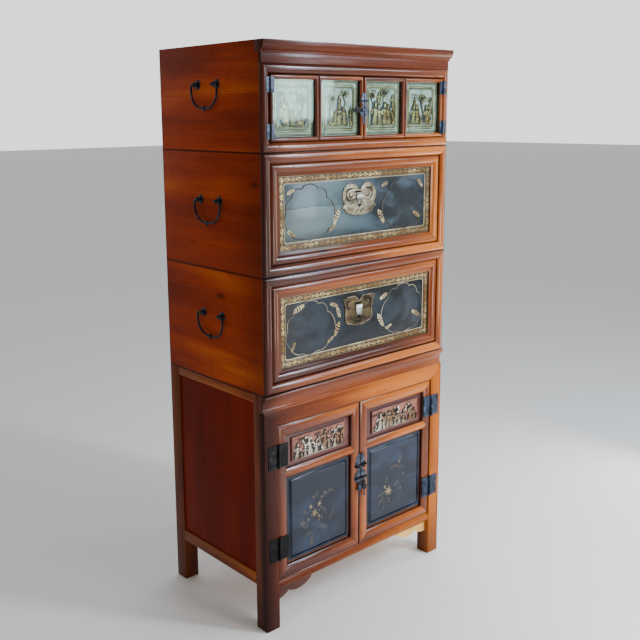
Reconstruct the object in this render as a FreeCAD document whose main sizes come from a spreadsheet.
import FreeCAD, Part
import os
import re
import Sketcher
from FreeCAD import Placement, Rotation, Vector

# A Chinese stacking cabinet: a legged base cupboard, two trunks with fall fronts and a glazed
# top unit, each lifted off the one below. X runs to the right along the front, Y to the back
# and Z up. The origin is on the floor, midway between the cornice's face and the back.

# Driving sizes in millimetres: alias, value, what it measures.
SIZES = (
    ("case_width", 840, "outside width of every unit"),
    ("case_depth", 520, "from the crown of the front frames to the back"),
    ("cornice_reach", 14, "how far the cornice stands in front of the frames' crown"),
    ("frame_proud", 8, "how far the front frames stand in front of the side boards"),
    ("board_thick", 20, "side boards"),
    ("lip_width", 4, "strip of the side board left beside a front frame"),
    ("thin_board", 12, "top, bottom and back boards"),
    ("frame_width", 32, "members of the trunks' outer frames"),
    ("frame_depth", 25, "front to back, outer frames and what hangs flush with their backs"),
    ("overrun", 10, "how far a cutting shape passes the wood"),
    ("running_gap", 1.5, "gap round a door or a fall front"),
    ("meeting_gap", 3, "gap between a pair of doors"),
    ("pin_clearance", 0.05, "radial play of a pin in its hole"),
    ("swing_clearance", 0.5, "play of a rounded edge as it turns"),
    ("iron_clearance", 0.3, "play between iron parts that pass each other"),
    ("base_height", 795, "floor to the top of the base"),
    ("lower_height", 366, "lower trunk"),
    ("upper_height", 369, "upper trunk"),
    ("top_height", 320, "glazed top unit"),
    ("post_width", 53, "corner posts of the base, square"),
    ("frieze_height", 57, "hollow moulding under the top of the base"),
    ("frieze_depth", 30, "front to back of that moulding"),
    ("frieze_bead", 15, "round bead at its top"),
    ("frieze_crown", 5, "rise of the bead"),
    ("frieze_step", 2, "step behind the bead"),
    ("frieze_draw", 7, "how far the hollow draws back on its way down"),
    ("frieze_hollow", 4, "how deep it is hollowed"),
    ("frieze_fillet", 6, "flat strip at its foot"),
    ("fillet_proud", 3, "that strip in front of the hollow's end"),
    ("top_rail_height", 52, "front rail above the base doors"),
    ("rail_depth", 28, "front to back, rails of the base"),
    ("rail_crown", 3, "how far the face of the top rail is rounded"),
    ("foot_rail_crown", 7, "how far the face of the foot rail is rounded"),
    ("groove_width", 1.5, "quirk down the face of each front post"),
    ("foot_rail_height", 32, "front rail below the base doors"),
    ("leg_clear", 132, "floor to the foot rail"),
    ("side_rail_top", 29, "upper side rail of the base"),
    ("side_rail_foot", 39, "lower side rail of the base"),
    ("side_leg_clear", 152, "floor to the lower side rail"),
    ("panel_recess", 4, "panels of the base sides behind the posts' faces"),
    ("bracket_length", 166, "apron bracket along the foot rail"),
    ("bracket_drop", 44, "how far it hangs"),
    ("bracket_thick", 16, "front to back"),
    ("bracket_setback", 18, "behind the face of the posts"),
    ("bracket_round", 5, "swell of the lobe beside the post"),
    ("bracket_swell", 14, "swell of the long lobe"),
    ("door_member", 39, "stiles and rails of the base doors"),
    ("door_depth", 24, "front to back, base doors"),
    ("door_crown", 6, "how far their faces are rounded"),
    ("middle_rail", 31, "rail between a base door's two panels"),
    ("carved_opening", 109, "height of the upper opening"),
    ("carved_border", 14, "border above and below the carved field"),
    ("carved_side_border", 24, "border beside the carved field"),
    ("carved_relief", 5, "how far the carved field stands up"),
    ("carved_recess", 14, "carved panel's border behind the door's face"),
    ("door_panel_thick", 8, "panels of the base doors"),
    ("lacquer_border", 18, "flat border of the lacquer panel"),
    ("lacquer_relief", 5, "how far its middle stands up"),
    ("lacquer_recess", 13, "lacquer panel's border behind the door's face"),
    ("leaf_width", 40, "leaf of a base hinge"),
    ("leaf_height", 77, "leaf of a base hinge"),
    ("leaf_thick", 2, "leaf of a base hinge"),
    ("knuckle_radius", 4.2, "base hinge"),
    ("hinge_pin_radius", 2, "base hinge"),
    ("hinge_low", 276, "floor to the middle of the lower hinge"),
    ("hinge_high", 589, "floor to the middle of the upper hinge"),
    ("plate_thick", 1.5, "ornamental plates"),
    ("plate_half", 24, "half plate of the base doors, width"),
    ("plate_height", 146, "half plate of the base doors"),
    ("plate_middle", 434, "floor to the middle of that plate"),
    ("staple_rise", 20, "upper staple above the plate's middle"),
    ("staple_fall", 36, "lower staple below the plate's middle"),
    ("staple_inset", 11, "staples from the door's meeting edge"),
    ("staple_half", 5, "half the width of a staple"),
    ("staple_wire", 1.5, "radius of a staple's wire"),
    ("staple_reach", 7, "staple's bar in front of the plate"),
    ("pull_length", 52, "drop pull below its eye"),
    ("pull_width", 13, "drop pull"),
    ("pull_thick", 3, "drop pull"),
    ("pull_eye_radius", 3.4, "eye of a drop pull"),
    ("round_width", 27, "half-round part of a fall front's frame"),
    ("fillet_width", 10, "flat step inside it"),
    ("round_crown", 7, "rise of the half round"),
    ("frame_crown", 8, "rise of an outer frame"),
    ("fall_recess", 5, "its crown behind the outer frame's crown"),
    ("border_width", 23, "gilt strip round the lacquer panel"),
    ("border_relief", 2.5, "thickness of the gilt strip"),
    ("fall_panel_recess", 15, "face of the lacquer panel behind the fall front's crown"),
    ("pivot_rise", 10, "pivot above the fall front's lower edge"),
    ("pivot_setback", 8.5, "pivot behind the fall front's crown"),
    ("pivot_radius", 3, "pivot pin"),
    ("pivot_length", 22, "pivot pin"),
    ("lock_width", 156, "butterfly lock plate"),
    ("lock_height", 106, "butterfly lock plate"),
    ("lock_above", 26, "lock plate's middle above the panel's middle"),
    ("lock_thick", 2, "lock plate"),
    ("shield_width", 30, "tapered shield in the lock plate"),
    ("shield_height", 36, "tapered shield"),
    ("shield_thick", 3, "how far the shield stands up"),
    ("keyhole_width", 4, "keyhole under the shield"),
    ("keyhole_height", 9, "keyhole under the shield"),
    ("bolt_width", 12, "bar of a lock's bolt"),
    ("bolt_thick", 4, "bolt, front to back"),
    ("bolt_tail_width", 34, "tail that the key lifts"),
    ("bolt_tail_height", 14, "tail that the key lifts"),
    ("bolt_throw", 8, "how far the key lifts the bolt"),
    ("lock_case_wall", 3, "lock's case and the bolt's guide"),
    ("guide_height", 12, "guide of the bolt"),
    ("guide_drop", 10, "guide below the top of the fall front"),
    ("bail_spacing", 99, "between the eyes of a side handle"),
    ("bail_drop", 70, "eyes to the bottom of a side handle"),
    ("bail_wire", 3.5, "radius of the bail"),
    ("bail_shoulder", 17, "how far a bail swings out past its eye"),
    ("bail_neck", 9, "radius of the bend beside the eye"),
    ("bail_bend", 50, "radius of the large lower bends"),
    ("bail_tip_inset", 12, "inner end of the bail inside its eye"),
    ("bail_tip", 4.4, "radius of the ball on its end"),
    ("nub_radius", 6.5, "ball at the bottom of the bail"),
    ("nub_drop", 8, "small ball under it"),
    ("nub_small", 3.6, "radius of that ball"),
    ("eye_reach", 13, "eye in front of the side board"),
    ("eye_radius", 5.5, "post of the eye"),
    ("eye_ball", 7, "ball end of the post"),
    ("rosette_radius", 15, "plate under the eye"),
    ("rosette_thick", 2, "plate under the eye"),
    ("rosette_rim", 4, "how far its edge is bevelled"),
    ("handle_rise", 218, "trunk's foot to the eyes"),
    ("top_handle_rise", 202, "top unit's foot to the eyes"),
    ("cornice_height", 36, "cornice"),
    ("cornice_fillet", 7, "flat edge at the top of the cornice"),
    ("cornice_round", 3.8, "swell of the cornice"),
    ("cornice_foot_recess", 2, "foot of the cornice behind the frames' crown"),
    ("fascia_height", 28, "flat board under the cornice"),
    ("fascia_recess", 4, "fascia behind the frames' crown"),
    ("top_frame_width", 30, "outer frame of the top unit"),
    ("bead_width", 13, "beads round the panes, two side by side between them"),
    ("bead_crown", 5, "rise of a bead"),
    ("pane_recess", 8, "glass behind the beads' crown"),
    ("glass_thick", 2.5, "glass"),
    ("glass_back", 2, "air behind the glass"),
    ("relief_thick", 5, "carved panel behind the glass"),
    ("top_door_depth", 19, "front to back, top doors"),
    ("top_leaf_width", 15, "leaf of a top hinge"),
    ("top_leaf_height", 44, "leaf of a top hinge"),
    ("top_knuckle_radius", 3.2, "top hinge"),
    ("top_pin_radius", 1.5, "top hinge"),
    ("top_hinge_inset", 30, "top hinges from the ends of the door"),
    ("top_plate_half", 13, "half plate of the top doors"),
    ("top_plate_height", 104, "half plate of the top doors"),
    ("top_staple_rise", 22, "staple above the middle of the door"),
    ("latch_length", 46, "turn latch, pivot to tip"),
    ("latch_width", 24, "turn latch"),
    ("latch_thick", 3, "turn latch"),
    ("latch_drop", 6, "latch's pivot below the middle of the door"),
    ("latch_hub", 6, "radius of the latch's round end"),
    ("latch_pin", 2, "radius of the latch's rivet"),
    ("latch_head", 4, "radius of the rivet's head"),
    ("latch_head_thick", 2, "rivet's head"),
)

doc = FreeCAD.newDocument("StackingCabinet")
sheet = doc.addObject("Spreadsheet::Sheet", "Sizes")
for row, (alias, value, note) in enumerate(SIZES, 1):
    sheet.set(f"A{row}", note)
    sheet.set(f"B{row}", str(value))
    sheet.setAlias(f"B{row}", alias)
doc.recompute()
ALIASES = {alias for alias, value, note in SIZES}
WORD = re.compile(r"[a-z]\w*")
pieces = []


def formula(text):
    """A formula as the document reads it, with each size looked up in the sheet."""
    return WORD.sub(lambda word: "Sizes." + word[0] if word[0] in ALIASES else word[0], text)


def measure(text):
    """The present value of a formula, in millimetres."""
    return float(sheet.evalExpression(formula(text)))


def bind(thing, **formulas):
    for name, text in formulas.items():
        thing.setExpression(name, formula(text))
    return thing


def put(thing, x, y, z, turn=Rotation()):
    thing.Placement = Placement(Vector(), turn)
    for name, text in zip("xyz", (x, y, z)):
        thing.setExpression("Placement.Base." + name, formula(text))
    return thing


def plus(*terms):
    return "(" + " + ".join(terms) + ")"


def minus(first, *rest):
    return f"({first}" + "".join(f" - ({term})" for term in rest) + ")"


def flip(span, side):
    """A span of X on the left (side -1) or the right (side 1)."""
    return span if side > 0 else (f"-({span[1]})", f"-({span[0]})")


ALONG = {"x": Rotation(Vector(0, 1, 0), 90), "y": Rotation(Vector(1, 0, 0), -90), "z": Rotation()}
STANDING = Rotation(Vector(1, 0, 0), 90)
TURNED = Rotation(Vector(1, 1, 1), -120)
SIDES = {"left": -1, "right": 1}


def block(x, y, z):
    """A rectangular piece between three pairs of formulas."""
    solid = doc.addObject("Part::Box", "Block")
    bind(solid, Length=minus(x[1], x[0]), Width=minus(y[1], y[0]), Height=minus(z[1], z[0]))
    return put(solid, x[0], y[0], z[0])


def rod(axis, radius, x, y, z):
    """A round piece along an axis, whose span is a pair of formulas there."""
    spans = {"x": x, "y": y, "z": z}
    low, high = spans[axis]
    solid = doc.addObject("Part::Cylinder", "Rod")
    bind(solid, Radius=radius, Height=minus(high, low))
    spans[axis] = low
    return put(solid, spans["x"], spans["y"], spans["z"], ALONG[axis])


def ball(radius, x, y, z):
    return put(bind(doc.addObject("Part::Sphere", "Ball"), Radius=radius), x, y, z)


def wedge(turn, outer, inner, across, through):
    """A bar with mitred ends: its span along one edge and the other, its width and its depth."""
    solid = doc.addObject("Part::Wedge", "Mitred")
    bind(solid, Xmin=outer[0], Xmax=outer[1], X2min=inner[0], X2max=inner[1])
    bind(solid, Ymin=across[0], Ymax=across[1])
    bind(solid, Zmin=through[0], Zmax=through[1], Z2min=through[0], Z2max=through[1])
    solid.Placement = Placement(Vector(), turn)
    return solid


def common(first, second):
    both = doc.addObject("Part::Common", "Common")
    both.Base = first
    both.Tool = second
    return both


def cut(stock, *tools):
    for tool in tools:
        rest = doc.addObject("Part::Cut", "Cut")
        rest.Base = stock
        rest.Tool = tool
        stock = rest
    return stock


def fuse(*parts):
    whole = doc.addObject("Part::MultiFuse", "Fusion")
    whole.Shapes = list(parts)
    return whole


def mirrored(source):
    """The same piece on the other side of the cabinet's middle."""
    twin = doc.addObject("Part::Mirroring", "Mirror")
    twin.Source = source
    twin.Normal = Vector(1, 0, 0)
    return twin


def sided(source, side):
    return source if side > 0 else mirrored(source)


def piece(label, *parts):
    """One sub-part under its own label: a single solid, or several that belong together."""
    if len(parts) == 1:
        whole = parts[0]
    else:
        whole = doc.addObject("Part::Compound", "Group")
        whole.Links = list(parts)
    whole.Label = label
    pieces.append(whole)


def crown(axis, width, depth, rise, front, x, z):
    """A bar with a rounded face, as wide as the bar it shapes, along x or z."""
    radius = f"((({width})^2 / 4 + ({rise})^2) / (2 * ({rise})))"
    round_face = rod(axis, radius, x, plus(front, radius), z)
    span_x = (minus(x, f"{width} / 2"), plus(x, f"{width} / 2")) if axis == "z" else x
    span_z = (minus(z, f"{width} / 2"), plus(z, f"{width} / 2")) if axis == "x" else z
    return fuse(round_face, block(span_x, (plus(front, rise), plus(front, depth)), span_z))


def mitred_frame(x, z, front, width, depth, rise=None):
    """Foot, head, left and right members, mitred at the corners, with round or flat faces."""
    back = plus(front, depth)
    inner_x = (plus(x[0], width), minus(x[1], width))
    inner_z = (plus(z[0], width), minus(z[1], width))
    turned_y = (f"-{back}", f"-({front})")
    foot = wedge(STANDING, x, inner_x, (z[0], inner_z[0]), turned_y)
    head = wedge(STANDING, inner_x, x, (inner_z[1], z[1]), turned_y)
    left = wedge(TURNED, z, inner_z, (x[0], inner_x[0]), (front, back))
    right = wedge(TURNED, inner_z, z, (inner_x[1], x[1]), (front, back))
    if rise is None:
        return [foot, head, left, right]
    middles_z = (plus(z[0], f"{width} / 2"), minus(z[1], f"{width} / 2"))
    middles_x = (plus(x[0], f"{width} / 2"), minus(x[1], f"{width} / 2"))
    return [
        common(foot, crown("x", width, depth, rise, front, x, middles_z[0])),
        common(head, crown("x", width, depth, rise, front, x, middles_z[1])),
        common(left, crown("z", width, depth, rise, front, middles_x[0], z)),
        common(right, crown("z", width, depth, rise, front, middles_x[1], z)),
    ]


def outline(body, role, level, corners, closed=True):
    """A sketch on one of a body's planes, at a level along its normal.

    A corner is two formulas, and a third makes the way to the next corner an arc that swells
    by that much to the left of the way (to the right when it is negative).
    """
    sketch = body.newObject("Sketcher::SketchObject", "Outline")
    sketch.AttachmentSupport = [(next(f for f in body.Origin.OriginFeatures if f.Role == role), "")]
    sketch.MapMode = "FlatFace"
    sketch.setExpression("AttachmentOffset.Base.z", formula(level))
    points = [Vector(measure(c[0]), measure(c[1]), 0) for c in corners]
    count = len(corners)
    ends = []
    for i in range(count if closed else count - 1):
        start, end = points[i], points[(i + 1) % count]
        swell = measure(corners[i][2]) if len(corners[i]) > 2 else 0
        if not swell:
            sketch.addGeometry(Part.LineSegment(start, end))
            ends.append((1, 2))
            continue
        way = (end - start).normalize()
        bow = (start + end) * 0.5 + Vector(-way.y, way.x, 0) * swell
        leftward = swell > 0
        sketch.addGeometry(Part.Arc(end, bow, start) if leftward else Part.Arc(start, bow, end))
        ends.append((2, 1) if leftward else (1, 2))
        chord = f"(({corners[(i + 1) % count][0]}) - ({corners[i][0]}))^2 + "
        chord += f"(({corners[(i + 1) % count][1]}) - ({corners[i][1]}))^2"
        radius = f"(({chord}) / 4 + ({corners[i][2]})^2) / (2 * abs({corners[i][2]}))"
        index = sketch.addConstraint(Sketcher.Constraint("Radius", i, measure(radius)))
        sketch.setExpression(f"Constraints[{index}]", formula(radius))
    for i in range(len(ends) if closed else len(ends) - 1):
        after = (i + 1) % len(ends)
        sketch.addConstraint(Sketcher.Constraint("Coincident", i, ends[i][1], after, ends[after][0]))
    for i in range(count):
        edge, end = (i, ends[i][0]) if i < len(ends) else (i - 1, ends[i - 1][1])
        for kind, axis, text in (("DistanceX", -2, corners[i][0]), ("DistanceY", -1, corners[i][1])):
            if text == "0":
                sketch.addConstraint(Sketcher.Constraint("PointOnObject", edge, end, axis))
                continue
            index = sketch.addConstraint(Sketcher.Constraint(kind, -1, 1, edge, end, measure(text)))
            sketch.setExpression(f"Constraints[{index}]", formula(text))
    return sketch


def padded(role, level, corners, thick, reverse=False):
    """A body cut to an outline and as thick as the formula says."""
    body = doc.addObject("PartDesign::Body", "Cutout")
    pad = body.newObject("PartDesign::Pad", "Pad")
    pad.Profile = outline(body, role, level, corners)
    pad.Reversed = reverse
    bind(pad, Length=thick)
    return body


def ring(body, role, level, centre, radius):
    """A circle on one of a body's planes."""
    sketch = body.newObject("Sketcher::SketchObject", "Ring")
    sketch.AttachmentSupport = [(next(f for f in body.Origin.OriginFeatures if f.Role == role), "")]
    sketch.MapMode = "FlatFace"
    sketch.setExpression("AttachmentOffset.Base.z", formula(level))
    middle = Vector(measure(centre[0]), measure(centre[1]), 0)
    sketch.addGeometry(Part.Circle(middle, Vector(0, 0, 1), measure(radius)))
    for kind, text in (("DistanceX", centre[0]), ("DistanceY", centre[1])):
        index = sketch.addConstraint(Sketcher.Constraint(kind, -1, 1, 0, 3, measure(text)))
        sketch.setExpression(f"Constraints[{index}]", formula(text))
    index = sketch.addConstraint(Sketcher.Constraint("Radius", 0, measure(radius)))
    sketch.setExpression(f"Constraints[{index}]", formula(radius))
    return sketch


def plate(corners, front, thick):
    """A flat piece cut to an outline seen from the front."""
    return padded("XZ_Plane", f"-({front} + {thick})", corners, thick)


# Planes and spans that several units share.
HALF = "case_width / 2"
FRONT = "-(case_depth - cornice_reach) / 2"
FACE = plus(FRONT, "frame_proud")
BACK = plus(FRONT, "case_depth")
FRAME_BACK = plus(FRONT, "frame_depth")
MIDDLE_Y = plus(FRONT, "case_depth / 2")
QUARTER_SWELL_SHARE = 1 - 0.5 ** 0.5

# Outlines as shares of the width and height of the piece, and of the swell of their arcs.
BRACKET_SHARES = ((0, 0), (0, 1), (0.32, 0.62), (0.9, 0.42), (1, 0))
HALF_PLATE_SHARES = (
    (0, -1), (0.35, -0.8), (0.42, -0.5), (0.95, -0.42), (1, -0.12), (0.62, 0.04), (0.7, 0.28),
    (0.94, 0.4), (0.72, 0.66), (0.95, 0.82), (0.5, 0.84), (0.3, 1), (0, 0.86),
)
HALF_PLATE_SWELL_SHARES = (0, 0, -0.05, -0.06, -0.06, 0.04, -0.03, -0.05, 0.05, 0, 0, 0.04, 0)
LOCK_SHARES = (
    (0, -0.98), (0.42, -1), (0.72, -0.84), (0.8, -0.56), (0.98, -0.4), (0.8, -0.12), (0.98, 0.2),
    (0.94, 0.62), (0.62, 0.98), (0.22, 0.9), (0, 0.62),
)
LOCK_SWELL_SHARES = (-0.02, -0.05, 0, 0, 0.05, 0.06, -0.07, -0.08, -0.08, -0.05, 0)
PULL_SHARES = ((0.2, 0), (0.24, -0.12), (0.5, -0.5), (0.3, -0.82), (0, -1))
PULL_SWELL_SHARES = (0, 0.08, -0.09, 0.03, 0)
LATCH_SHARES = ((0, 0.24), (0.3, 0.2), (0.62, 0.5), (1, 0))
SHIELD_TAPER_SHARE = 0.55


def shares_outline(shares, swells, x, width, z, height):
    """Corners of an outline placed at x and z, its shares times a width and a height."""
    corners = []
    for (across, up), swell in zip(shares, swells):
        corner = (f"{x} + {across} * {width}", f"{z} + {up} * {height}")
        corners.append(corner + (f"{swell} * {height}",) if swell else corner)
    return corners


def whole_outline(shares, swells, x, width, z, height):
    """The same, with the half that the shares give repeated on the other side of x."""
    right = shares_outline(shares, swells, x, width, z, height)
    there = [(-across, up) for across, up in reversed(shares)]
    back = list(reversed(swells[:-1])) + [0]
    left = shares_outline(there, back, x, width, z, height)
    first = 1 if shares[-1][0] == 0 else 0
    last = len(left) - 1 if shares[0][0] == 0 else len(left)
    return right[:len(right) - first] + left[:last]


def hinge(side, axis, face, low, high, width, thick, radius, pin):
    """A two-leaf hinge. Returns the fixed leaf, its pin, and the leaf that moves."""
    pivot_y = minus(face, radius, "iron_clearance")
    third = f"({high} - ({low})) / 3"
    inner = (plus(low, third, "iron_clearance / 2"), minus(high, third, "iron_clearance / 2"))
    middle = (plus(low, third, "iron_clearance"), minus(high, third, "iron_clearance"))
    ends = ((low, inner[0]), (inner[1], high))
    leaf_y = (minus(face, thick), face)
    reach = plus(radius, "iron_clearance")
    pivot = axis if side > 0 else f"-({axis})"
    leaf_x = flip((plus(axis, reach), plus(axis, width)), side)
    strap_x = flip((axis, plus(axis, reach)), side)
    fixed = [block(leaf_x, leaf_y, (low, high))]
    for span in ends:
        fixed.append(block(strap_x, leaf_y, span))
        fixed.append(rod("z", radius, pivot, pivot_y, span))
    door_x = flip((minus(axis, width), minus(axis, reach)), side)
    tongue_x = flip((minus(axis, reach), axis), side)
    moving = fuse(
        block(door_x, leaf_y, (low, high)),
        block(tongue_x, leaf_y, middle),
        rod("z", radius, pivot, pivot_y, middle),
    )
    long = (minus(low, "overrun"), plus(high, "overrun"))
    bore = rod("z", pin, pivot, pivot_y, long)
    loose = rod("z", plus(pin, "pin_clearance"), pivot, pivot_y, long)
    return cut(fuse(*fixed), bore), rod("z", pin, pivot, pivot_y, (low, high)), cut(moving, loose)


def staple(x, face, z):
    """A wire staple whose bar stands in front of the face."""
    bar_y = minus(face, "staple_reach")
    legs = []
    for way in ("-", "+"):
        legs.append(rod("y", "staple_wire", f"{x} {way} staple_half", (bar_y, face), z))
        legs.append(ball("staple_wire", f"{x} {way} staple_half", bar_y, z))
    bar = rod("x", "staple_wire", (f"{x} - staple_half", f"{x} + staple_half"), bar_y, z)
    return fuse(bar, *legs)


def base_cupboard():
    """The legged cupboard at the foot of the stack."""
    top = "base_height"
    inner = minus(HALF, "post_width")
    between_x = (f"-{inner}", inner)
    front_post_y = (FACE, plus(FACE, "post_width"))
    back_post_y = (minus(BACK, "post_width"), BACK)
    between_y = (front_post_y[1], back_post_y[0])
    frieze_foot = minus(top, "frieze_height")
    rail_z = (minus(frieze_foot, "top_rail_height"), frieze_foot)
    rail_y = (FACE, plus(FACE, "rail_depth"))
    foot_z = ("leg_clear", plus("leg_clear", "foot_rail_height"))
    through = (f"-({rail_y[1]})", f"-({rail_y[0]})")
    mitre = wedge(STANDING, between_x, (f"-{HALF}", HALF), rail_z, through)
    head_room = block(
        (f"-{HALF} - overrun", f"{HALF} + overrun"),
        (minus(FRONT, "overrun"), plus(FRONT, "frieze_depth")),
        (frieze_foot, plus(top, "overrun")),
    )
    posts = []
    notches = []
    for side in SIDES.values():
        x = flip((inner, HALF), side)
        quirk_x = flip((minus(HALF, "lip_width", "groove_width"), minus(HALF, "lip_width")), side)
        quirk = block(quirk_x, (minus(FACE, "overrun"), plus(FACE, "groove_width")), ("0", top))
        posts.append(cut(block(x, front_post_y, ("0", top)), mitre, head_room, quirk))
        posts.append(block(x, back_post_y, ("0", top)))
        notches.append(block(x, front_post_y, ("0", top)))
        notches.append(posts[-1])
    piece("base_posts", *posts)

    middle_z = plus(rail_z[0], "top_rail_height / 2")
    foot_middle = plus(foot_z[0], "foot_rail_height / 2")
    all_x = (f"-{HALF}", HALF)
    piece(
        "base_front_rails",
        common(mitre, crown("x", "top_rail_height", "rail_depth", "rail_crown", FACE, all_x, middle_z)),
        common(
            block(between_x, rail_y, foot_z),
            crown("x", "foot_rail_height", "rail_depth", "foot_rail_crown", FACE, between_x, foot_middle),
        ),
    )
    bead_y = plus(FRONT, "frieze_crown")
    bead_foot = minus(top, "frieze_bead")
    hollow_y = plus(bead_y, "frieze_step")
    hollow_foot = (plus(hollow_y, "frieze_draw"), plus(frieze_foot, "frieze_fillet"))
    strip_y = minus(hollow_foot[0], "fillet_proud")
    frieze_back = plus(FRONT, "frieze_depth")
    piece("base_frieze", padded("YZ_Plane", f"-{HALF}", (
        (frieze_back, top),
        (bead_y, top, "-frieze_crown"),
        (bead_y, bead_foot),
        (hollow_y, bead_foot, "frieze_hollow"),
        hollow_foot,
        (strip_y, hollow_foot[1]),
        (strip_y, frieze_foot),
        (frieze_back, frieze_foot),
    ), "case_width"))

    upper = (minus(top, "side_rail_top"), top)
    lower = ("side_leg_clear", plus("side_leg_clear", "side_rail_foot"))
    panel_z = (lower[1], upper[0])
    side_rails = []
    side_panels = []
    for side in SIDES.values():
        rail_x = flip((minus(HALF, "rail_depth"), HALF), side)
        panel_x = flip((minus(HALF, "panel_recess", "thin_board"), minus(HALF, "panel_recess")), side)
        side_rails += [block(rail_x, between_y, upper), block(rail_x, between_y, lower)]
        side_panels.append(block(panel_x, between_y, panel_z))
    back_rail_y = (minus(BACK, "rail_depth"), BACK)
    back_panel_y = (minus(BACK, "panel_recess", "thin_board"), minus(BACK, "panel_recess"))
    side_rails += [block(between_x, back_rail_y, upper), block(between_x, back_rail_y, lower)]
    piece("base_side_and_back_rails", *side_rails)
    piece("base_panels", *side_panels, block(between_x, back_panel_y, panel_z))

    board_x = (f"-{HALF} + rail_depth", f"{HALF} - rail_depth")
    top_y = (frieze_back, back_rail_y[0])
    floor_y = (rail_y[1], back_rail_y[0])
    top_board = block(board_x, top_y, (minus(top, "thin_board"), top))
    floor_board = block(board_x, floor_y, (minus(foot_z[1], "thin_board"), foot_z[1]))
    piece("base_top_board", cut(top_board, *notches))
    piece("base_floor_board", cut(floor_board, *notches))

    bracket_front = plus(FACE, "bracket_setback")
    swells = (None, "-bracket_round", "-bracket_swell", None, None)
    corners = []
    for (across, down), swell in zip(BRACKET_SHARES, swells):
        corner = (f"-{inner} + {across} * bracket_length", f"leg_clear - {down} * bracket_drop")
        corners.append(corner + (swell,) if swell else corner)
    bracket = plate(corners, bracket_front, "bracket_thick")
    piece("base_left_bracket", bracket)
    piece("base_right_bracket", mirrored(bracket))

    axis = minus(inner, "running_gap / 2")
    fixed = []
    for name, side in SIDES.items():
        leaves = []
        for level in ("hinge_low", "hinge_high"):
            low, high = minus(level, "leaf_height / 2"), plus(level, "leaf_height / 2")
            leaf, pin, moving = hinge(side, axis, FACE, low, high, "leaf_width", "leaf_thick",
                                      "knuckle_radius", "hinge_pin_radius")
            fixed += [leaf, pin]
            leaves.append(moving)
        base_door(name, side, (inner, (foot_z[1], rail_z[0])), leaves)
    piece("base_hinges", *fixed)


def base_door(name, side, opening, leaves):
    """A framed door with a carved panel over a lacquered one."""
    edge, (low, high) = opening
    x = flip(("meeting_gap / 2", minus(edge, "running_gap")), side)
    z = (plus(low, "running_gap"), minus(high, "running_gap"))
    inner_x = (plus(x[0], "door_member"), minus(x[1], "door_member"))
    upper_z = (minus(z[1], "door_member", "carved_opening"), minus(z[1], "door_member"))
    rail_z = (minus(upper_z[0], "middle_rail"), upper_z[0])
    rail_middle = minus(upper_z[0], "middle_rail / 2")
    lower_z = (plus(z[0], "door_member"), rail_z[0])
    back = plus(FACE, "door_depth")
    through = (f"-{back}", f"-{FACE}")
    point_x = (minus(inner_x[0], "middle_rail / 2"), plus(inner_x[1], "middle_rail / 2"))
    pointed = fuse(
        wedge(STANDING, inner_x, point_x, (rail_z[0], rail_middle), through),
        wedge(STANDING, point_x, inner_x, (rail_middle, rail_z[1]), through),
    )
    members = mitred_frame(x, z, FACE, "door_member", "door_depth", "door_crown")
    round_rail = crown("x", "middle_rail", "door_depth", "door_crown", FACE, point_x, rail_middle)
    rail = common(pointed, round_rail)
    stiles = [cut(stile, pointed) for stile in members[2:]]
    piece(f"base_{name}_door_frame", *members[:2], *stiles, rail)

    for label, span, recess, relief, borders in (
        ("carved", upper_z, "carved_recess", "carved_relief", ("carved_side_border", "carved_border")),
        ("lacquer", lower_z, "lacquer_recess", "lacquer_relief", ("lacquer_border", "lacquer_border")),
    ):
        level = plus(FACE, recess)
        field_x = (plus(inner_x[0], borders[0]), minus(inner_x[1], borders[0]))
        field_z = (plus(span[0], borders[1]), minus(span[1], borders[1]))
        panel = block(inner_x, (level, plus(level, "door_panel_thick")), span)
        field = block(field_x, (minus(level, relief), level), field_z)
        piece(f"base_{name}_door_{label}_panel", fuse(panel, field))

    plate_x = "meeting_gap / 2"
    corners = shares_outline(HALF_PLATE_SHARES, HALF_PLATE_SWELL_SHARES, plate_x, "plate_half",
                             "plate_middle", "plate_height / 2")
    plate_y = minus(FACE, "plate_thick")
    half_plate = sided(plate(corners, plate_y, "plate_thick"), side)
    staple_x = plus(plate_x, "staple_inset") if side > 0 else f"-({plate_x} + staple_inset)"
    hanging = minus("plate_middle", "staple_fall")
    raised = plus("plate_middle", "staple_rise")
    staples = [staple(staple_x, plate_y, level) for level in (raised, hanging)]
    piece(f"base_{name}_door_ironwork", *leaves, half_plate, *staples)

    bar_y = minus(plate_y, "staple_reach")
    eye_half = "(staple_half - staple_wire - iron_clearance)"
    eye_x = (f"{staple_x} - {eye_half}", f"{staple_x} + {eye_half}")
    hole_x = (f"{staple_x} - overrun", f"{staple_x} + overrun")
    eye = rod("x", "pull_eye_radius", eye_x, bar_y, hanging)
    hole = rod("x", "staple_wire + iron_clearance", hole_x, bar_y, hanging)
    leaf = plate(
        whole_outline(PULL_SHARES, PULL_SWELL_SHARES, staple_x, "pull_width", hanging, "pull_length"),
        minus(bar_y, "pull_thick / 2"), "pull_thick",
    )
    piece(f"base_{name}_pull", cut(fuse(eye, leaf), hole))


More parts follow.
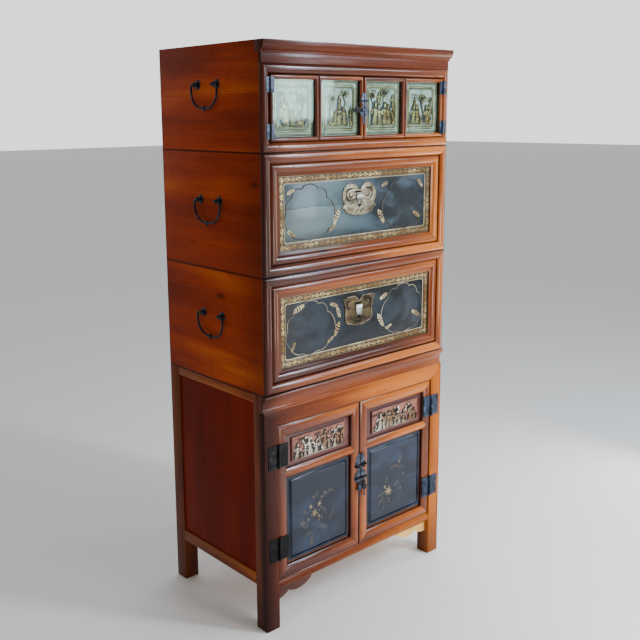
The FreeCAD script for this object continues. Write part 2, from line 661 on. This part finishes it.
def side_handles(prefix, rise):
    """Eyes and bails on both sides of a unit."""
    axis_x = plus(HALF, "eye_reach")
    fittings = []
    for side in SIDES.values():
        for way in ("-", "+"):
            eye_y = f"{MIDDLE_Y} {way} bail_spacing / 2"
            rosette = doc.addObject("Part::Cone", "Rosette")
            bind(rosette, Radius1="rosette_radius", Radius2="rosette_radius - rosette_rim")
            bind(rosette, Height="rosette_thick")
            put(rosette, HALF, eye_y, rise, ALONG["x"])
            post = rod("x", "eye_radius", (HALF, axis_x), eye_y, rise)
            through = (f"{eye_y} - eye_ball - overrun", f"{eye_y} + eye_ball + overrun")
            bore = rod("y", "bail_wire + pin_clearance", axis_x, through, rise)
            eye = fuse(rosette, post, ball("eye_ball", axis_x, eye_y, rise))
            fittings.append(sided(cut(eye, bore), side))
    piece(f"{prefix}_handle_eyes", *fittings)
    for name, side in SIDES.items():
        piece(f"{prefix}_{name}_bail", sided(bail(axis_x, rise), side))


def bail(x, rise):
    """A swan-necked iron bail, bent from one rod, with balls at its ends and its foot."""
    tip = "(bail_spacing / 2 - bail_tip_inset)"
    shoulder = "(bail_spacing / 2 + bail_shoulder)"
    foot = minus(rise, "bail_drop")
    neck_swell = f"-{QUARTER_SWELL_SHARE} * bail_neck"
    bend_swell = f"-{QUARTER_SWELL_SHARE} * bail_bend"
    route = (
        (f"{MIDDLE_Y} - {tip}", rise),
        (f"{MIDDLE_Y} - {shoulder} + bail_neck", rise, neck_swell),
        (f"{MIDDLE_Y} - {shoulder}", minus(rise, "bail_neck")),
        (f"{MIDDLE_Y} - {shoulder}", plus(foot, "bail_bend"), bend_swell),
        (f"{MIDDLE_Y} - {shoulder} + bail_bend", foot),
        (f"{MIDDLE_Y} + {shoulder} - bail_bend", foot, bend_swell),
        (f"{MIDDLE_Y} + {shoulder}", plus(foot, "bail_bend")),
        (f"{MIDDLE_Y} + {shoulder}", minus(rise, "bail_neck"), neck_swell),
        (f"{MIDDLE_Y} + {shoulder} - bail_neck", rise),
        (f"{MIDDLE_Y} + {tip}", rise),
    )
    body = doc.addObject("PartDesign::Body", "Bent")
    pipe = body.newObject("PartDesign::AdditivePipe", "Pipe")
    pipe.Profile = ring(body, "XZ_Plane", f"-({route[0][0]})", (x, rise), "bail_wire")
    pipe.Spine = outline(body, "YZ_Plane", x, route, closed=False)
    ends = [ball("bail_tip", x, f"{MIDDLE_Y} {way} {tip}", rise) for way in ("-", "+")]
    nub = ball("nub_radius", x, MIDDLE_Y, foot)
    drop = ball("nub_small", x, MIDDLE_Y, minus(foot, "nub_drop"))
    return fuse(body, *ends, nub, drop)


def case(prefix, low, high, open_head=None):
    """Side boards rebated for the front frame, and the top, bottom and back boards."""
    z = (low, high)
    tall = (minus(low, "overrun"), plus(high, "overrun"))
    rebate_y = (minus(FRONT, "overrun"), FRAME_BACK)
    boards = []
    for side in SIDES.values():
        board = block(flip((minus(HALF, "board_thick"), HALF), side), (FACE, BACK), z)
        rebate_x = flip((minus(HALF, "board_thick", "overrun"), minus(HALF, "lip_width")), side)
        cuts = [block(rebate_x, rebate_y, tall)]
        if open_head:
            past = flip((minus(HALF, "board_thick", "overrun"), plus(HALF, "overrun")), side)
            cuts.append(block(past, rebate_y, (open_head, tall[1])))
        boards.append(cut(board, *cuts))
    piece(f"{prefix}_side_boards", *boards)
    inside_x = (f"-{HALF} + board_thick", f"{HALF} - board_thick")
    shelf_y = (FRAME_BACK, minus(BACK, "thin_board"))
    piece(
        f"{prefix}_boards",
        block(inside_x, shelf_y, (low, plus(low, "thin_board"))),
        block(inside_x, shelf_y, (minus(high, "thin_board"), high)),
        block(inside_x, (shelf_y[1], BACK), z),
    )


def trunk(prefix, low, high):
    """A trunk whose framed front turns down on two hidden pins."""
    case(prefix, low, high)
    frame_x = (f"-{HALF} + lip_width", f"{HALF} - lip_width")
    members = mitred_frame(frame_x, (low, high), FRONT, "frame_width", "frame_depth", "frame_crown")
    gap = plus("frame_width", "running_gap")
    x = (plus(frame_x[0], gap), minus(frame_x[1], gap))
    z = (plus(low, gap), minus(high, gap))
    level = plus(FRONT, "fall_recess")
    pivot_y = plus(level, "pivot_setback")
    pivot_z = plus(z[0], "pivot_rise")
    half_pin = "pivot_length / 2"
    holes = []
    pins = []
    sockets = []
    for way, edge in zip((-1, 1), x):
        inward = minus(edge, half_pin) if way > 0 else plus(edge, half_pin)
        outward = plus(edge, half_pin) if way > 0 else minus(edge, half_pin)
        deep = plus(outward, "iron_clearance") if way > 0 else minus(outward, "iron_clearance")
        pin_x = (inward, outward) if way > 0 else (outward, inward)
        hole_x = (edge, deep) if way > 0 else (deep, edge)
        pins.append(rod("x", "pivot_radius", pin_x, pivot_y, pivot_z))
        sockets.append(rod("x", "pivot_radius", pin_x, pivot_y, pivot_z))
        holes.append(rod("x", "pivot_radius + pin_clearance", hole_x, pivot_y, pivot_z))
    piece(f"{prefix}_front_frame", *members[:2], cut(members[2], holes[0]), cut(members[3], holes[1]))

    step_x = (plus(x[0], "round_width"), minus(x[1], "round_width"))
    step_z = (plus(z[0], "round_width"), minus(z[1], "round_width"))
    depth = "(frame_depth - fall_recess)"
    step_depth = f"({depth} - round_crown)"
    rounds = mitred_frame(x, z, level, "round_width", depth, "round_crown")
    steps = mitred_frame(step_x, step_z, plus(level, "round_crown"), "fillet_width", step_depth)
    stock = [fuse(outer, inner) for outer, inner in zip(rounds, steps)]
    swing = "pivot_rise + running_gap - swing_clearance"
    past_x = (minus(x[0], "overrun"), plus(x[1], "overrun"))
    corner = cut(
        block(past_x, (pivot_y, plus(FRAME_BACK, "overrun")), (minus(z[0], "overrun"), pivot_z)),
        rod("x", swing, past_x, pivot_y, pivot_z),
    )
    piece(
        f"{prefix}_fall_frame",
        cut(stock[0], corner),
        stock[1],
        cut(stock[2], corner, sockets[0]),
        cut(stock[3], corner, sockets[1]),
        *pins,
    )
    panel_x = (plus(step_x[0], "fillet_width"), minus(step_x[1], "fillet_width"))
    panel_z = (plus(step_z[0], "fillet_width"), minus(step_z[1], "fillet_width"))
    panel_y = plus(level, "fall_panel_recess")
    border_y = minus(panel_y, "border_relief")
    border = mitred_frame(panel_x, panel_z, border_y, "border_width", "border_relief")
    piece(f"{prefix}_fall_border", *border)
    lock_z = plus(f"({low} + {high}) / 2", "lock_above")
    keyhole = lock(prefix, lock_z, panel_y, z[1])
    piece(f"{prefix}_fall_panel", cut(block(panel_x, (panel_y, FRAME_BACK), panel_z), keyhole))
    side_handles(prefix, plus(low, "handle_rise"))


def lock(prefix, middle, face, head):
    """A butterfly plate with its keyhole, and behind the panel a case whose bolt the key lifts.

    The bolt's bar runs up to the head of the fall front and locks behind the outer frame.
    Returns the keyhole, for the panel to be cut with.
    """
    front = minus(face, "lock_thick")
    foot = minus(middle, "shield_height / 2")
    top = plus(middle, "shield_height / 2")
    wings = whole_outline(LOCK_SHARES, LOCK_SWELL_SHARES, "0", "lock_width / 2", middle, "lock_height / 2")
    narrow = f"{SHIELD_TAPER_SHARE} * shield_width / 2"
    taper = ((f"-{narrow}", foot), (narrow, foot), ("shield_width / 2", top), ("-shield_width / 2", top))
    shield = plate(taper, minus(front, "shield_thick"), "shield_thick")
    hole_z = (minus(foot, "keyhole_height"), foot)
    hole_y = (minus(front, "overrun"), plus(FRAME_BACK, "iron_clearance"))
    keyhole = block(("-keyhole_width / 2", "keyhole_width / 2"), hole_y, hole_z)

    bolt_y = (plus(FRAME_BACK, "iron_clearance"), plus(FRAME_BACK, "iron_clearance", "bolt_thick"))
    tail_z = (plus(foot, "iron_clearance"), plus(foot, "iron_clearance", "bolt_tail_height"))
    ceiling = plus(tail_z[1], "bolt_throw", "iron_clearance")
    case_y = (FRAME_BACK, plus(bolt_y[1], "iron_clearance", "lock_case_wall"))
    case_z = (minus(hole_z[0], "lock_case_wall"), plus(ceiling, "lock_case_wall"))
    guide_z = (minus(head, "guide_drop", "guide_height"), minus(head, "guide_drop"))
    room_y = (minus(FRAME_BACK, "overrun"), plus(bolt_y[1], "iron_clearance"))
    tail_half = "(bolt_tail_width / 2 + iron_clearance)"
    bar_half = "(bolt_width / 2 + iron_clearance)"
    channel = block((f"-{bar_half}", bar_half), room_y, (hole_z[0], plus(head, "overrun")))
    housing = cut(
        block((f"-{tail_half} - lock_case_wall", f"{tail_half} + lock_case_wall"), case_y, case_z),
        block((f"-{tail_half}", tail_half), room_y, (foot, ceiling)),
        channel,
    )
    guide = cut(
        block((f"-{bar_half} - lock_case_wall", f"{bar_half} + lock_case_wall"), case_y, guide_z),
        channel,
    )
    piece(f"{prefix}_lock", cut(fuse(plate(wings, front, "lock_thick"), shield), keyhole), housing, guide)
    piece(f"{prefix}_lock_bolt", fuse(
        block(("-bolt_tail_width / 2", "bolt_tail_width / 2"), bolt_y, tail_z),
        block(("-bolt_width / 2", "bolt_width / 2"), bolt_y, (tail_z[0], minus(head, "swing_clearance"))),
    ))
    return keyhole


def top_unit(low, high):
    """The glazed unit with its cornice."""
    cornice_foot = minus(high, "cornice_height")
    fascia_foot = minus(cornice_foot, "fascia_height")
    case("top", low, high, open_head=cornice_foot)
    frame_x = (f"-{HALF} + lip_width", f"{HALF} - lip_width")
    frame_z = (low, fascia_foot)
    members = mitred_frame(frame_x, frame_z, FRONT, "top_frame_width", "frame_depth", "frame_crown")
    piece("top_front_frame", *members)
    fascia_y = (plus(FRONT, "fascia_recess"), FRAME_BACK)
    piece("top_fascia", block(frame_x, fascia_y, (fascia_foot, cornice_foot)))
    nose = minus(FRONT, "cornice_reach")
    foot_y = plus(FRONT, "cornice_foot_recess")
    piece("top_cornice", padded("YZ_Plane", f"-{HALF}", (
        (FRAME_BACK, high),
        (nose, high),
        (nose, minus(high, "cornice_fillet"), "-cornice_round"),
        (FRONT, plus(cornice_foot, "cornice_fillet")),
        (foot_y, plus(cornice_foot, "cornice_fillet")),
        (foot_y, cornice_foot),
        (FRAME_BACK, cornice_foot),
    ), "case_width"))

    edge = minus(HALF, "lip_width", "top_frame_width")
    z = (plus(low, "top_frame_width", "running_gap"), minus(fascia_foot, "top_frame_width", "running_gap"))
    axis = minus(edge, "running_gap / 2")
    fixed = []
    for name, side in SIDES.items():
        leaves = []
        for middle in (plus(z[0], "top_hinge_inset"), minus(z[1], "top_hinge_inset")):
            low_end, high_end = minus(middle, "top_leaf_height / 2"), plus(middle, "top_leaf_height / 2")
            leaf, pin, moving = hinge(side, axis, FRONT, low_end, high_end, "top_leaf_width", "plate_thick",
                                      "top_knuckle_radius", "top_pin_radius")
            fixed += [leaf, pin]
            leaves.append(moving)
        top_door(name, side, minus(edge, "running_gap"), z, leaves)
    piece("top_hinges", *fixed)
    side_handles("top", plus(low, "top_handle_rise"))


def top_door(name, side, edge, z, leaves):
    """A door of two beaded panes with carved panels behind the glass."""
    outer = flip(("meeting_gap / 2", edge), side)
    middle = f"({outer[0]} + {outer[1]}) / 2"
    beads = []
    panes = []
    carvings = []
    glass_y = plus(FRONT, "pane_recess")
    carving_y = plus(glass_y, "glass_thick", "glass_back")
    for x in ((outer[0], middle), (middle, outer[1])):
        beads += mitred_frame(x, z, FRONT, "bead_width", "top_door_depth", "bead_crown")
        light_x = (plus(x[0], "bead_width"), minus(x[1], "bead_width"))
        light_z = (plus(z[0], "bead_width"), minus(z[1], "bead_width"))
        panes.append(block(light_x, (glass_y, plus(glass_y, "glass_thick")), light_z))
        carvings.append(block(light_x, (carving_y, plus(carving_y, "relief_thick")), light_z))
    piece(f"top_{name}_door_frame", *beads)
    piece(f"top_{name}_door_glass", *panes)
    piece(f"top_{name}_door_carvings", *carvings)

    level = f"({z[0]} + {z[1]}) / 2"
    plate_y = minus(FRONT, "plate_thick")
    corners = shares_outline(HALF_PLATE_SHARES, HALF_PLATE_SWELL_SHARES, "meeting_gap / 2",
                             "top_plate_half", level, "top_plate_height / 2")
    half_plate = sided(plate(corners, plate_y, "plate_thick"), side)
    inset = "meeting_gap / 2 + top_plate_half / 2"
    staple_x = inset if side > 0 else f"-({inset})"
    iron = [*leaves, staple(staple_x, plate_y, plus(level, "top_staple_rise"))]
    if side > 0:
        piece(f"top_{name}_door_ironwork", *iron, half_plate)
        return
    pivot_z = minus(level, "latch_drop")
    latch_back = minus(plate_y, "iron_clearance")
    latch_front = minus(latch_back, "latch_thick")
    head_back = minus(latch_front, "iron_clearance")
    rivet = rod("y", "latch_pin", staple_x, (head_back, plate_y), pivot_z)
    head = rod("y", "latch_head", staple_x, (minus(head_back, "latch_head_thick"), head_back), pivot_z)
    piece(f"top_{name}_door_ironwork", *iron, fuse(half_plate, rivet, head))
    arm = []
    for across, up in LATCH_SHARES:
        arm.append((f"{staple_x} - {across} * latch_length", f"{pivot_z} + {up} * latch_width"))
    for across, up in reversed(LATCH_SHARES[:-1]):
        arm.append((f"{staple_x} - {across} * latch_length", f"{pivot_z} - {up} * latch_width"))
    hub = rod("y", "latch_hub", staple_x, (latch_front, latch_back), pivot_z)
    hole_y = (minus(latch_front, "overrun"), plus(latch_back, "overrun"))
    hole = rod("y", "latch_pin + pin_clearance", staple_x, hole_y, pivot_z)
    piece("top_latch", cut(fuse(plate(arm, latch_front, "latch_thick"), hub), hole))


lower_foot = "base_height"
upper_foot = plus(lower_foot, "lower_height")
top_foot = plus(upper_foot, "upper_height")
base_cupboard()
trunk("lower", lower_foot, upper_foot)
trunk("upper", upper_foot, top_foot)
top_unit(top_foot, plus(top_foot, "top_height"))
doc.recompute()

for thing in doc.Objects:
    if "Invalid" in thing.State or "Error" in thing.State:
        raise RuntimeError(f"{thing.Label} was not built: {thing.State}")
for whole in pieces:
    if whole.Shape.isNull() or not whole.Shape.isValid() or not whole.Shape.Solids:
        raise RuntimeError(f"{whole.Label} is not a sound solid")

os.makedirs("parts", exist_ok=True)
for whole in pieces:
    whole.Shape.exportStep(f"parts/{whole.Label}.step")
print(len(pieces), "pieces")
